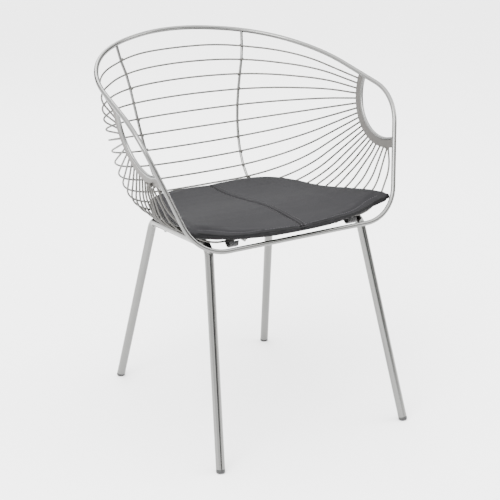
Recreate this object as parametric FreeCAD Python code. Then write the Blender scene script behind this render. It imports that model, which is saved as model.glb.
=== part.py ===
import FreeCAD, Part
import math
import os
from FreeCAD import Vector

os.makedirs("parts", exist_ok=True)

# Wire armchair with a bent steel rim, twenty-one U-shaped wires that make the
# shell, two flat arm plates, two bent tube leg frames and a padded seat.
# Millimetres, +Z up, floor at z = 0. The sitter faces -Y, so left is +X.

# Rim: one closed loop of round bar, top hoop, two posts and the front rail
rim_bar_d = 10.0
rim_slope = 12.9              # the top hoop rises to the back, degrees
rim_height = 701.0            # height of the hoop's plane above the middle of the feet
hoop_back_y = 373.0           # bend points of the top hoop, seen from above
hoop_back_corner_x = 189.0
hoop_back_corner_y = 303.0
hoop_side_x = 286.0
hoop_side_y = 168.0
hoop_front_x = 312.0
hoop_front_y = -84.5
rail_y = -192.0
rail_z = 444.0
rail_half_length = 236.0      # from the middle to the bend point of the post
post_top_bend_r = 118.0
post_foot_bend_r = 90.5

# Arm loops: a bent bar with a flat plate along its outer side
loop_bar_d = 7.0
loop_r = 97.7                 # to the middle of the bar
loop_rim_y = 14.5             # where the bar meets the hoop
loop_post_z = 597.0           # where it meets the post
loop_tilt = 12.6              # the loop leans in towards the seat, degrees
plate_width = 19.6            # from the middle of the bar to the plate's edge
plate_t = 3.0

# Shell wires: U-shaped, each bent in one plane, ends on the arm plates
wire_d = 4.0
wire_count = 21
first_wire_angle = 6.9        # from the hoop to the first wire, round the loop
wire_angle_step = 5.45

# Support bars under the shell, from the hoop down the back to the front wire
support_d = 6.5
support_top_x = 160.0
support_low_x = 112.0
support_taper_wires = 10      # they draw together over this many wires
support_taper_power = 1.6
support_front_reach = 2.5     # past the middle of the last wire
weld_bite = 0.15              # how deep crossing bars sink into each other

# Leg frames: one bent tube on each side, and two bars that join them
leg_tube_d = 19.0
leg_tube_wall = 1.5
leg_bend_r = 25.0
front_foot_x = 230.5
front_foot_y = -263.5
rear_foot_x = 197.5
rear_foot_y = 263.5
frame_front_x = 184.5         # bend points at the top of the frame
frame_front_y = -141.5
frame_front_z = 446.0
frame_rear_x = 152.0
frame_rear_y = 165.0
frame_rear_z = 405.5
cross_bar_d = 16.0
cross_bar_wall = 1.5
front_cross_bar_y = -62.0
rear_cross_bar_y = 96.0

# Foot glides: a plug in the tube with a rounded cap
glide_cap_length = 7.5        # up the leg from the floor
glide_edge_r = 3.0
glide_plug_length = 16.0
glide_plug_clearance = 0.1
glide_drop = 1.0              # the cap goes this far past the floor before it is cut flat

# Seat pad
pad_clearance = 0.3           # above the wires
pad_side_clearance = 1.4      # where the pad turns up along the sides
pad_edge_bulge = 5.0
pad_flat_share = 0.64         # of the half width, flat underneath
pad_rise_at_mid = 0.3         # of the side's rise, halfway up the slope
pad_dish_at_flat = 0.15       # of the step from the middle up to the side
pad_dish_at_mid = 0.52
pad_pillow = 1.2              # each half of the top swells by this
pad_cover_t = 1.2
pad_foam_least_t = 10.0       # the foam ends where the pad gets thinner than this
seam_strip_half = 3.0
seam_groove_half = 5.0
seam_groove_depth = 1.6

# Straps that tie the pad to the wires
strap_width = 22.0
strap_t = 2.2
strap_loop_r = 8.0            # inside the bottom of the loop
strap_play = 0.4              # between the wire and the back of the loop
strap_drop = 12.5             # below the middle of the wire
front_strap_x = 144.0
rear_strap_x = 92.0
front_strap_wire = 21
rear_strap_wire = 12

rim_r = rim_bar_d / 2.0
loop_bar_r = loop_bar_d / 2.0
wire_r = wire_d / 2.0
support_r = support_d / 2.0
leg_r = leg_tube_d / 2.0
cross_bar_r = cross_bar_d / 2.0

# The shell's shape is set by five of the wires, and the others lie between
# them. Each row gives: slope of the wire's plane below the horizontal, reach
# from the arm plate to the middle of the wire, then the corner bend and the
# shoulder bend as (inset from the wire's end, distance along the plane).
key_wires = [
    (9.5, 300.0, (189.0, 289.0), (44.0, 191.0)),
    (-16.5, 270.0, (117.0, 236.0), (22.0, 129.0)),
    (-41.5, 239.0, (146.5, 242.5), (50.5, 182.5)),
    (-61.5, 156.5, (73.0, 161.0), (14.0, 53.0)),
    (-113.0, 128.5, (67.5, 129.0), (7.5, 44.5)),
]

# Seat pad from front to back, one row for each place along Y: half width, how
# far the underside is lifted off the wires, how much higher the underside is
# at the sides, thickness at the sides and thickness at the middle
pad_stations = [
    (-210.0, 26.0, 7.2, 0.2, 3.2, 3.2),
    (-208.5, 54.0, 5.6, 0.4, 6.6, 6.8),
    (-205.0, 80.0, 4.6, 0.6, 9.6, 10.2),
    (-200.0, 103.0, 3.6, 1.2, 11.4, 12.0),
    (-193.0, 131.0, 2.6, 2.4, 12.2, 13.6),
    (-185.0, 159.0, 1.6, 4.2, 12.4, 15.2),
    (-177.0, 185.0, 0.8, 6.8, 12.4, 16.4),
    (-170.0, 209.0, 0.2, 10.6, 12.0, 17.2),
    (-165.5, 230.0, 0.0, 15.5, 11.8, 17.6),
    (-161.5, 243.0, 0.0, 20.5, 11.4, 17.8),
    (-156.5, 243.5, 0.0, 24.5, 11.0, 17.9),
    (-151.0, 238.5, 0.0, 26.5, 10.8, 18.0),
    (-143.0, 233.5, 0.0, 26.5, 10.8, 18.2),
    (-131.0, 232.0, 0.0, 24.5, 11.4, 18.6),
    (-112.0, 230.5, 0.0, 21.5, 12.0, 19.0),
    (-75.0, 223.5, 0.3, 15.0, 13.6, 20.0),
    (-35.0, 213.0, 0.6, 11.5, 15.4, 22.8),
    (5.0, 204.5, 0.0, 11.5, 18.4, 26.4),
    (45.0, 197.5, 0.0, 14.0, 19.6, 28.8),
    (80.0, 192.5, 0.0, 17.0, 18.4, 29.8),
    (110.0, 186.5, 0.0, 17.6, 16.6, 28.6),
    (134.0, 177.0, 0.0, 15.6, 15.4, 26.0),
    (154.0, 163.0, 0.0, 12.8, 14.0, 22.0),
    (169.0, 145.0, 0.0, 8.4, 12.8, 17.4),
    (179.0, 124.0, 0.6, 4.4, 11.2, 13.2),
    (184.0, 106.0, 2.0, 2.0, 8.4, 8.6),
    (187.0, 92.0, 3.8, 0.6, 4.2, 4.2),
]


def mirrored(p):
    return Vector(-p.x, p.y, p.z)


def bend_edges(points, radii=None, closed=False):
    """Straight runs joined by tangent arcs. A radius of None is the largest
    arc that half of the shorter run allows."""
    count = len(points)
    corners = range(count) if closed else range(1, count - 1)
    starts = {}
    ends = {}
    arcs = {}
    for i in corners:
        before = points[i - 1]
        here = points[i]
        after = points[(i + 1) % count]
        to_before = before - here
        to_after = after - here
        run_in = to_before.Length
        run_out = to_after.Length
        to_before.normalize()
        to_after.normalize()
        turn = math.pi - to_before.getAngle(to_after)
        if turn < 0.004:
            continue
        if radii is None or radii[i] is None:
            cut = 0.5 * min(run_in, run_out)
        else:
            cut = radii[i] * math.tan(turn / 2.0)
        radius = cut / math.tan(turn / 2.0)
        middle = to_before + to_after
        middle.normalize()
        centre = here + middle * (radius / math.cos(turn / 2.0))
        starts[i] = here + to_before * cut
        ends[i] = here + to_after * cut
        arcs[i] = (starts[i], centre - middle * radius, ends[i])
    edges = []
    order = [i for i in corners if i in arcs]
    if closed:
        position = ends[order[-1]]
    else:
        position = points[0]
    for i in order:
        if (starts[i] - position).Length > 0.001:
            edges.append(Part.LineSegment(position, starts[i]).toShape())
        edges.append(Part.Arc(*arcs[i]).toShape())
        position = ends[i]
    if not closed and (points[-1] - position).Length > 0.001:
        edges.append(Part.LineSegment(position, points[-1]).toShape())
    return edges


def sweep(edges, radius):
    """A round bar along the edges."""
    path = Part.Wire(edges)
    first = edges[0]
    start = first.valueAt(first.FirstParameter)
    along = first.tangentAt(first.FirstParameter)
    section = Part.Wire(Part.makeCircle(radius, start, along))
    return path.makePipeShell([section], True, False)


def one_solid(shape):
    """The largest solid of a boolean result."""
    return max(shape.Solids, key=lambda s: s.Volume)


def between(a, b, share):
    return a + (b - a) * share


# Rim frame
def hoop_point(x, y):
    return Vector(x, y, rim_height + y * math.tan(math.radians(rim_slope)))


hoop_front = hoop_point(hoop_front_x, hoop_front_y)
hoop_side = hoop_point(hoop_side_x, hoop_side_y)
hoop_back_corner = hoop_point(hoop_back_corner_x, hoop_back_corner_y)
hoop_back = hoop_point(0.0, hoop_back_y)
rail_corner = Vector(rail_half_length, rail_y, rail_z)


def make_rim():
    side = [hoop_back_corner, hoop_side, hoop_front, rail_corner]
    points = [hoop_back] + side + [mirrored(p) for p in reversed(side)]
    radii = [None, None, None, post_top_bend_r, post_foot_bend_r]
    radii += [post_foot_bend_r, post_top_bend_r, None, None]
    return sweep(bend_edges(points, radii, closed=True), rim_r)


def rim_back_at(x):
    """Point on the middle of the hoop's bar at the back, x from the middle."""
    side = [hoop_back_corner, hoop_side]
    points = [mirrored(p) for p in reversed(side)] + [hoop_back] + side
    line = Part.Wire(bend_edges(points)).discretize(Number=1500)
    back = [p for p in line if p.y > hoop_side_y]
    return min(back, key=lambda p: abs(p.x - x))


# Arm loop: its bar runs from the hoop to the post in one tilted plane
loop_on_rim = between(hoop_side, hoop_front, (hoop_side_y - loop_rim_y) / (hoop_side_y - hoop_front_y))
post_share = (hoop_front.z - loop_post_z) / (hoop_front.z - rail_z)
loop_on_post = between(hoop_front, rail_corner, post_share)
chord = loop_on_post - loop_on_rim
chord_dir = Vector(chord).normalize()
level_normal = chord_dir.cross(Vector(0, 0, 1)).normalize()
loop_turn = FreeCAD.Rotation(chord_dir, -loop_tilt)
loop_normal = loop_turn.multVec(level_normal)
if loop_normal.x < 0:
    loop_normal = loop_normal * -1.0
towards_centre = loop_normal.cross(chord_dir)
if towards_centre.z < 0:
    towards_centre = towards_centre * -1.0
loop_centre = (loop_on_rim + loop_on_post) * 0.5
loop_centre = loop_centre + towards_centre * math.sqrt(loop_r ** 2 - (chord.Length / 2.0) ** 2)
loop_start = (loop_on_rim - loop_centre).normalize()
loop_side = loop_normal.cross(loop_start)
if loop_side.z > 0:
    loop_side = loop_side * -1.0
loop_sweep = 360.0 - math.degrees((loop_on_post - loop_centre).getAngle(loop_start))
if (loop_on_post - loop_centre).dot(loop_side) > 0:
    loop_sweep = 360.0 - loop_sweep


def on_loop(radius, angle):
    a = math.radians(angle)
    return loop_centre + loop_start * (radius * math.cos(a)) + loop_side * (radius * math.sin(a))


def make_loop_bar(rim):
    arc = Part.Arc(on_loop(loop_r, 0.0), on_loop(loop_r, loop_sweep / 2.0), on_loop(loop_r, loop_sweep))
    return one_solid(sweep([arc.toShape()], loop_bar_r).cut(rim))


def make_plate(rim, bar):
    outer_r = loop_r + plate_width
    half = loop_sweep / 2.0
    inner = Part.Arc(on_loop(loop_r, 0.0), on_loop(loop_r, half), on_loop(loop_r, loop_sweep))
    outer = Part.Arc(on_loop(outer_r, loop_sweep), on_loop(outer_r, half), on_loop(outer_r, 0.0))
    end_a = Part.LineSegment(on_loop(loop_r, loop_sweep), on_loop(outer_r, loop_sweep))
    end_b = Part.LineSegment(on_loop(outer_r, 0.0), on_loop(loop_r, 0.0))
    outline = Part.Wire([inner.toShape(), end_a.toShape(), outer.toShape(), end_b.toShape()])
    face = Part.Face(outline)
    face.translate(loop_normal * (-plate_t / 2.0))
    blank = face.extrude(loop_normal * plate_t)
    return one_solid(blank.cut(rim).cut(bar))


# Shell wires
def blend(values, number):
    """Smooth curve through the key wires' values, read at one wire."""
    last = len(values) - 1
    place = (number - 1.0) * last / (wire_count - 1.0)
    total = 0.0
    for k in range(last + 1):
        weight = 1.0
        for j in range(last + 1):
            if j != k:
                weight *= (place - j) / (k - j)
        total += weight * values[k]
    return total


def wire_points(number):
    """Bend points of one U-shaped wire, from its left end to its right end."""
    slope = math.radians(blend([k[0] for k in key_wires], number))
    reach = blend([k[1] for k in key_wires], number)
    corner_in = blend([k[2][0] for k in key_wires], number)
    corner_at = blend([k[2][1] for k in key_wires], number)
    shoulder_in = blend([k[3][0] for k in key_wires], number)
    shoulder_at = blend([k[3][1] for k in key_wires], number)
    end = on_loop(loop_r + plate_width, first_wire_angle + (number - 1) * wire_angle_step)
    along = Vector(0, math.cos(slope), math.sin(slope))
    shoulder = Vector(end.x - shoulder_in, end.y, end.z) + along * shoulder_at
    corner = Vector(end.x - corner_in, end.y, end.z) + along * corner_at
    middle = Vector(0, end.y, end.z) + along * reach
    side = [end, shoulder, corner]
    return side + [middle] + [mirrored(p) for p in reversed(side)]


wire_edges = {n: bend_edges(wire_points(n)) for n in range(1, wire_count + 1)}
wire_lines = {n: Part.Wire(e).discretize(Number=420) for n, e in wire_edges.items()}


def wire_at(number, x):
    """Point on a wire's middle line, x from the chair's middle, and its direction."""
    line = wire_lines[number]
    for a, b in zip(line, line[1:]):
        if b.x <= x < a.x:
            return between(a, b, (a.x - x) / (a.x - b.x)), (b - a).normalize()
    return None


# Support bars: under each wire that they cross, and up to the hoop
def support_x(number):
    left = max(0.0, 1.0 - number / float(support_taper_wires))
    return support_low_x + (support_top_x - support_low_x) * left ** support_taper_power


def support_points():
    crossings = [wire_at(n, support_x(n)) for n in range(1, wire_count + 1)]
    inside = Vector(0, 0, rim_height)
    offset = support_r + wire_r - weld_bite
    points = [rim_back_at(support_top_x)]
    last = len(crossings) - 1
    for i, (p, across) in enumerate(crossings):
        down = crossings[min(i + 1, last)][0] - crossings[max(i - 1, 0)][0]
        out = down.cross(across).normalize()
        if out.dot(p - inside) < 0:
            out = out * -1.0
        points.append(p + out * offset)
    ahead = (points[-1] - points[-2]).normalize()
    points.append(points[-1] + ahead * support_front_reach)
    return points


support_line = support_points()


def support_edges():
    radii = [None] * len(support_line)
    for i in range(1, len(support_line) - 1):
        a = support_line[i - 1] - support_line[i]
        b = support_line[i + 1] - support_line[i]
        turn = math.pi - a.getAngle(b)
        if turn > 0.004:
            radii[i] = 0.3 * min(a.Length, b.Length) / math.tan(turn / 2.0)
    return bend_edges(support_line, radii)


def make_support(rim):
    return one_solid(sweep(support_edges(), support_r).cut(rim))


def support_height(y):
    """Height of the support bar's middle line where it runs under the seat."""
    for a, b in zip(support_line[1:], support_line[2:]):
        if b.y <= y <= a.y and a.y != b.y:
            return between(a, b, (y - a.y) / (b.y - a.y)).z
    return support_line[-1].z


# Leg frames: the top run lies under the lowest wires
def line_gap(p, a, b):
    """Distance from a point to the straight run from a to b."""
    run = b - a
    share = max(0.0, min(1.0, (p - a).dot(run) / run.dot(run)))
    return (p - (a + run * share)).Length


def frame_lift():
    """How far the top run moves, up or down, so that it meets the lowest wire."""
    front = Vector(frame_front_x, frame_front_y, frame_front_z)
    rear = Vector(frame_rear_x, frame_rear_y, frame_rear_z)
    near = []
    for n in range(support_taper_wires + 3, wire_count):
        near += [mirrored(p) for p in wire_lines[n] if p.x < -frame_rear_x * 0.6]
    seat = leg_r + wire_r - weld_bite
    lift = 0.0
    for attempt in range(6):
        shift = Vector(0, 0, lift)
        closest = min(line_gap(p, front + shift, rear + shift) for p in near)
        lift += closest - seat
    return lift


lift = frame_lift()
frame_front = Vector(frame_front_x, frame_front_y, frame_front_z + lift)
frame_rear = Vector(frame_rear_x, frame_rear_y, frame_rear_z + lift)
front_foot = Vector(front_foot_x, front_foot_y, 0.0)
rear_foot = Vector(rear_foot_x, rear_foot_y, 0.0)


def tube_foot(foot, top):
    """Where the tube ends, above its glide's cap."""
    return foot + (top - foot).normalize() * glide_cap_length


def make_leg_frame():
    ends = [tube_foot(front_foot, frame_front), frame_front, frame_rear, tube_foot(rear_foot, frame_rear)]
    edges = bend_edges(ends, [None, leg_bend_r, leg_bend_r, None])
    outside = sweep(edges, leg_r)
    inside = sweep(edges, leg_r - leg_tube_wall)
    return one_solid(outside.cut(inside)), outside


def make_glide(foot, top):
    axis = (top - foot).normalize()
    base = foot - axis * glide_drop
    cap = Part.makeCylinder(leg_r, glide_cap_length + glide_drop, base, axis)
    cap_edge = min(cap.Edges, key=lambda e: (e.CenterOfMass - base).Length)
    cap = cap.makeFillet(glide_edge_r, [cap_edge])
    plug_r = leg_r - leg_tube_wall - glide_plug_clearance
    plug = Part.makeCylinder(plug_r, glide_cap_length + glide_plug_length, foot, axis)
    below = Part.makeBox(100, 100, 50, foot + Vector(-50, -50, -50))
    return one_solid(cap.fuse(plug).cut(below).removeSplitter())


# Bars between the two leg frames, under the support bars
def frame_x_at(y):
    share = (y - frame_front.y) / (frame_rear.y - frame_front.y)
    return between(frame_front, frame_rear, share).x


def make_cross_bar(y, leg_solids):
    z = support_height(y) - support_r - cross_bar_r + weld_bite
    half = frame_x_at(y)
    start = Vector(-half, y, z)
    outside = Part.makeCylinder(cross_bar_r, 2.0 * half, start, Vector(1, 0, 0))
    inside = Part.makeCylinder(cross_bar_r - cross_bar_wall, 2.0 * half, start, Vector(1, 0, 0))
    bar = outside.cut(inside)
    for leg in leg_solids:
        bar = one_solid(bar.cut(leg))
    return bar


# Seat pad: its underside follows the wires
seat_wires = list(range(8, wire_count + 1))


def seat_height(x, y):
    """Height of the wires' middle lines at a place on the seat, and the slope across."""
    heights = []
    for place in (x, x + 4.0):
        found = [wire_at(n, place)[0] for n in seat_wires if wire_at(n, place)]
        found.sort(key=lambda p: p.y)
        low = found[0]
        high = found[1]
        for a, b in zip(found, found[1:]):
            if a.y <= y:
                low = a
                high = b
        share = (y - low.y) / (high.y - low.y)
        share = max(0.0, min(1.0, share))
        heights.append(between(low, high, share).z)
    return heights[0], (heights[1] - heights[0]) / 4.0


def pad_floor(x, y):
    """Lowest height that clears the wires at a place on the seat."""
    z, slope = seat_height(x, y)
    gap = pad_clearance if abs(slope) < 0.1 else pad_side_clearance
    return z + (wire_r + gap) * math.sqrt(1.0 + slope * slope)


def pad_underside(y):
    """Height of the flat middle of the pad's underside."""
    for (a, b) in zip(range(len(pad_stations)), range(1, len(pad_stations))):
        if pad_stations[a][0] <= y <= pad_stations[b][0]:
            share = (y - pad_stations[a][0]) / (pad_stations[b][0] - pad_stations[a][0])
            return between(pad_flat_height(a), pad_flat_height(b), share)
    return pad_flat_height(0)


def pad_flat_height(index):
    y, half, lift = pad_stations[index][:3]
    flat = (half - min(pad_edge_round(index), 0.45 * half)) * pad_flat_share
    return max(pad_floor(0.0, y), pad_floor(flat, y)) + lift


def pad_edge_round(index):
    """How far in from the side the rounded edge starts. It is wider where the
    outline runs across the seat."""
    before = pad_stations[max(index - 1, 0)]
    after = pad_stations[min(index + 1, len(pad_stations) - 1)]
    along = abs(after[0] - before[0])
    across = abs(after[1] - before[1])
    return pad_edge_bulge * math.hypot(along, across) / along


def pad_section(index, inset):
    """Closed outline of the pad across the seat, drawn in by an inset."""
    y, half, lift, rise, side_t, middle_t = pad_stations[index]
    bulge = min(pad_edge_round(index), 0.45 * half)
    half = half - inset
    side_t = side_t - 2.0 * inset
    outer = half - bulge
    flat = outer * pad_flat_share
    mid = (flat + outer) / 2.0
    z_flat = pad_flat_height(index) + inset
    z_out = z_flat + rise
    z_mid = max(pad_floor(mid, y) + lift + inset, z_flat + rise * pad_rise_at_mid)
    z_top = z_flat + middle_t - 2.0 * inset
    z_side = z_out + side_t
    z_mid_side = z_out + side_t / 2.0
    bow = between(outer, half, math.sqrt(0.5))
    bow_t = side_t / 2.0 * math.sqrt(0.5)
    z_top_flat = z_top + (z_side - z_top) * pad_dish_at_flat + pad_pillow
    z_top_mid = z_top + (z_side - z_top) * pad_dish_at_mid + pad_pillow
    z_crown = z_top + pad_pillow
    crown = flat * 0.5

    def at(x, z):
        return Vector(x, y, z)

    def line(a, b):
        return Part.LineSegment(a, b).toShape()

    def arc(a, b, c):
        return Part.Arc(a, b, c).toShape()

    # the seam: a flat strip between two grooves, and one shallow channel
    # where the foam lies under it
    strip = seam_strip_half
    groove = seam_groove_half
    groove_mid = (strip + groove) / 2.0
    depth = min(seam_groove_depth, 0.2 * middle_t)
    if inset > 0:
        groove = groove + inset
        seam = [at(groove, z_top),
                at(groove - inset, z_top - depth),
                at(inset - groove, z_top - depth),
                at(-groove, z_top)]
    else:
        seam = [at(groove, z_top),
                at(groove_mid, z_top - depth),
                at(strip, z_top),
                at(-strip, z_top),
                at(-groove_mid, z_top - depth),
                at(-groove, z_top)]
    edges = [line(at(-flat, z_flat), at(flat, z_flat)),
             arc(at(flat, z_flat), at(mid, z_mid), at(outer, z_out)),
             arc(at(outer, z_out), at(bow, z_mid_side - bow_t), at(half, z_mid_side)),
             arc(at(half, z_mid_side), at(bow, z_mid_side + bow_t), at(outer, z_side)),
             arc(at(outer, z_side), at(mid, z_top_mid), at(flat, z_top_flat)),
             arc(at(flat, z_top_flat), at(crown, z_crown), at(groove, z_top))]
    edges += [line(a, b) for a, b in zip(seam, seam[1:])]
    edges += [arc(at(-groove, z_top), at(-crown, z_crown), at(-flat, z_top_flat)),
              arc(at(-flat, z_top_flat), at(-mid, z_top_mid), at(-outer, z_side)),
              arc(at(-outer, z_side), at(-bow, z_mid_side + bow_t), at(-half, z_mid_side)),
              arc(at(-half, z_mid_side), at(-bow, z_mid_side - bow_t), at(-outer, z_out)),
              arc(at(-outer, z_out), at(-mid, z_mid), at(-flat, z_flat))]
    return Part.Wire(edges)


def make_pad():
    """The sewn cover and the foam inside it."""
    rows = range(len(pad_stations))
    outside = Part.makeLoft([pad_section(i, 0.0) for i in rows], True, True)
    thick = [i for i in rows if pad_stations[i][4] > pad_foam_least_t]
    core = Part.makeLoft([pad_section(i, pad_cover_t) for i in thick], True, True)
    return one_solid(outside.cut(core)), core


# Pad straps: a band that hangs from the pad's underside round a wire
def make_strap(number, x, forward):
    """A band of even thickness, open at the top, with the wire at its back."""
    at, direction = wire_at(number, x)
    inner = strap_loop_r
    outer = inner + strap_t
    y = at.y - forward * (inner - wire_r - strap_play)
    top = min(pad_underside(y - outer), pad_underside(y + outer)) - pad_clearance
    low = at.z - strap_drop
    bend = low + outer
    left = x - strap_width / 2.0

    def p(dy, z):
        return Vector(left, y + dy, z)

    edges = [Part.LineSegment(p(-outer, top), p(-outer, bend)).toShape(),
             Part.Arc(p(-outer, bend), p(0, low), p(outer, bend)).toShape(),
             Part.LineSegment(p(outer, bend), p(outer, top)).toShape(),
             Part.LineSegment(p(outer, top), p(inner, top)).toShape(),
             Part.LineSegment(p(inner, top), p(inner, bend)).toShape(),
             Part.Arc(p(inner, bend), p(0, low + strap_t), p(-inner, bend)).toShape(),
             Part.LineSegment(p(-inner, bend), p(-inner, top)).toShape(),
             Part.LineSegment(p(-inner, top), p(-outer, top)).toShape()]
    return Part.Face(Part.Wire(edges)).extrude(Vector(strap_width, 0, 0))


# Build every piece
parts = {}


def flip(shape):
    return shape.mirror(Vector(0, 0, 0), Vector(1, 0, 0))


def add_pair(name, shape):
    parts["left_" + name] = shape
    parts["right_" + name] = flip(shape)


rim = make_rim()
parts["rim_frame"] = rim
loop_bar = make_loop_bar(rim)
add_pair("arm_loop_bar", loop_bar)
add_pair("arm_plate", make_plate(rim, loop_bar))

for number in range(1, wire_count + 1):
    parts["shell_wire_%02d" % number] = sweep(wire_edges[number], wire_r)

add_pair("support_bar", make_support(rim))

leg_frame, leg_outside = make_leg_frame()
add_pair("leg_frame", leg_frame)
add_pair("front_foot_glide", make_glide(front_foot, frame_front))
add_pair("rear_foot_glide", make_glide(rear_foot, frame_rear))
both_legs = [leg_outside, flip(leg_outside)]
parts["front_cross_bar"] = make_cross_bar(front_cross_bar_y, both_legs)
parts["rear_cross_bar"] = make_cross_bar(rear_cross_bar_y, both_legs)

pad_cover, pad_foam = make_pad()
parts["seat_pad_cover"] = pad_cover
parts["seat_pad_foam"] = pad_foam
add_pair("front_pad_strap", make_strap(front_strap_wire, front_strap_x, 1.0))
add_pair("rear_pad_strap", make_strap(rear_strap_wire, rear_strap_x, -1.0))

# The origin is on the floor under the middle of the chair's outline
outline = Part.makeCompound([rim, parts["left_front_foot_glide"], parts["left_leg_frame"]])
bounds = outline.optimalBoundingBox(False, False)
middle_y = (bounds.YMin + bounds.YMax) / 2.0
print("moved back to front by", round(-middle_y, 3), "leg frame lift", round(lift, 2))
for name, shape in parts.items():
    shape.translate(Vector(0, -middle_y, 0))
    if not shape.isValid() or len(shape.Solids) != 1:
        print("check", name, shape.isValid(), len(shape.Solids))
    shape.exportStep("parts/" + name + ".step")
print(len(parts), "parts", "loop sweep", round(loop_sweep, 1))
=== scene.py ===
"""Wire armchair with a padded seat: finishes, soft pieces, studio and camera.

The steel pieces keep the shapes of the construction model and get their
finishes here. The cushion is a copy of the pad's outer skin, swollen as a
filled cover. Its seams, stitches, straps and the weld beads are surfaces
worked out from arrays. All lengths are in metres, +Z is up, and the sitter
faces -Y.
"""

import logging
import math
from dataclasses import dataclass
from enum import Enum
from typing import Protocol

import bmesh
import bpy
import numpy as np
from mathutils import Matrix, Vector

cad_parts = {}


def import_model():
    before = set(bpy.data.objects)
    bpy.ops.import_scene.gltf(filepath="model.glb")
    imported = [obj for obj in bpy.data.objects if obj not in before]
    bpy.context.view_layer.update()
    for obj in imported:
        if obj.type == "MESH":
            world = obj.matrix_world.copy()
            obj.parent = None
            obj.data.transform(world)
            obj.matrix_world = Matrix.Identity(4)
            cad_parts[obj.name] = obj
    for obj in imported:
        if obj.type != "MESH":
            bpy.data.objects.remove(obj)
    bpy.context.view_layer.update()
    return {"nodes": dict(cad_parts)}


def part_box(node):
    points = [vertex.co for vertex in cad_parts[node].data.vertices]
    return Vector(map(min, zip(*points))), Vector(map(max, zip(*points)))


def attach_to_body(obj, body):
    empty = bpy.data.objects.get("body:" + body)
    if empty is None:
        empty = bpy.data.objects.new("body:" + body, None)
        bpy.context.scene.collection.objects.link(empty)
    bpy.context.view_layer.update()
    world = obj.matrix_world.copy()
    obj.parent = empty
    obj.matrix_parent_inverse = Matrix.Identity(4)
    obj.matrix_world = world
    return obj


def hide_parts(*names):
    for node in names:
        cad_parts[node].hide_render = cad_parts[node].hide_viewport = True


LOG = logging.getLogger("wire_chair")

Colour = tuple[float, float, float]


class Side(Enum):
    """The two mirrored halves of the chair."""

    LEFT = 1.0
    RIGHT = -1.0


# Node groups


def new_group(
    name: str, inputs: dict[str, tuple[str, object]], outputs: dict[str, str]
) -> bpy.types.NodeTree:
    """Makes an empty shader node group with named sockets.

    Args:
        name: The group's name.
        inputs: Socket name to socket type and default value.
        outputs: Socket name to socket type.

    Returns:
        The group, with its input and output nodes called "in" and "out".
    """
    group = bpy.data.node_groups.new(name, "ShaderNodeTree")
    for label, (kind, value) in inputs.items():
        socket = group.interface.new_socket(label, in_out="INPUT", socket_type=kind)
        if value is not None:
            socket.default_value = value
    for label, kind in outputs.items():
        group.interface.new_socket(label, in_out="OUTPUT", socket_type=kind)
    group.nodes.new("NodeGroupInput").name = "in"
    group.nodes.new("NodeGroupOutput").name = "out"
    return group


def add_node(tree: bpy.types.NodeTree, kind: str, **values: object) -> bpy.types.Node:
    """Adds a node and sets its properties and unlinked sockets.

    Args:
        tree: The node tree.
        kind: The node's type name.
        values: Property names, or socket names with spaces as underscores.

    Returns:
        The new node.
    """
    node = tree.nodes.new(kind)
    for key, value in values.items():
        label = key.replace("_", " ")
        if label in node.inputs:
            node.inputs[label].default_value = value
        else:
            setattr(node, key, value)
    return node


def maths(
    tree: bpy.types.NodeTree, operation: str, *values: object, clamp: bool = False
) -> bpy.types.NodeSocket:
    """Adds a maths node that reads sockets or numbers.

    Args:
        tree: The node tree.
        operation: The operation's name.
        values: A socket or a number for each input, in order.
        clamp: The result is kept between zero and one.

    Returns:
        The result's socket.
    """
    node = add_node(tree, "ShaderNodeMath", operation=operation, use_clamp=clamp)
    for socket, value in zip(node.inputs, values):
        if isinstance(value, bpy.types.NodeSocket):
            tree.links.new(value, socket)
        else:
            socket.default_value = value
    return node.outputs[0]


def brushed_group() -> bpy.types.NodeTree:
    """Fine lines and faint clouding of plated steel.

    A noise stretched along one direction gives the drawn lines for the height,
    and a slow noise gives the clouding, which shifts roughness and colour a little.

    Returns:
        A group with inputs Colour, Roughness, Line Scale, Line Depth and
        Clouding, and outputs Colour, Roughness and Height.
    """
    group = new_group(
        "plated_steel_surface",
        {
            "Colour": ("NodeSocketColor", (0.6, 0.6, 0.6, 1.0)),
            "Roughness": ("NodeSocketFloat", 0.2),
            "Line Scale": ("NodeSocketFloat", 900.0),
            "Line Depth": ("NodeSocketFloat", 0.1),
            "Clouding": ("NodeSocketFloat", 0.1),
        },
        {"Colour": "NodeSocketColor", "Roughness": "NodeSocketFloat", "Height": "NodeSocketFloat"},
    )
    links = group.links
    source, result = group.nodes["in"], group.nodes["out"]
    place = add_node(group, "ShaderNodeTexCoord")
    stretch = add_node(group, "ShaderNodeMapping", Scale=(1.0, 1.0, 0.06))
    links.new(place.outputs["Object"], stretch.inputs["Vector"])
    lines = add_node(group, "ShaderNodeTexNoise", Detail=2.0, Roughness=0.6)
    links.new(stretch.outputs["Vector"], lines.inputs["Vector"])
    links.new(source.outputs["Line Scale"], lines.inputs["Scale"])
    clouds = add_node(group, "ShaderNodeTexNoise", Scale=14.0, Detail=4.0, Roughness=0.55)
    links.new(place.outputs["Object"], clouds.inputs["Vector"])
    centred = maths(group, "SUBTRACT", clouds.outputs["Fac"], 0.5)
    cloud_amount = maths(group, "MULTIPLY", centred, source.outputs["Clouding"])
    rough = maths(group, "ADD", source.outputs["Roughness"], cloud_amount, clamp=True)
    tint = add_node(group, "ShaderNodeVectorMath", operation="SCALE")
    links.new(source.outputs["Colour"], tint.inputs[0])
    links.new(maths(group, "ADD", cloud_amount, 1.0), tint.inputs["Scale"])
    depth = maths(group, "MULTIPLY", lines.outputs["Fac"], source.outputs["Line Depth"])
    links.new(tint.outputs["Vector"], result.inputs["Colour"])
    links.new(rough, result.inputs["Roughness"])
    links.new(depth, result.inputs["Height"])
    return group


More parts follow.
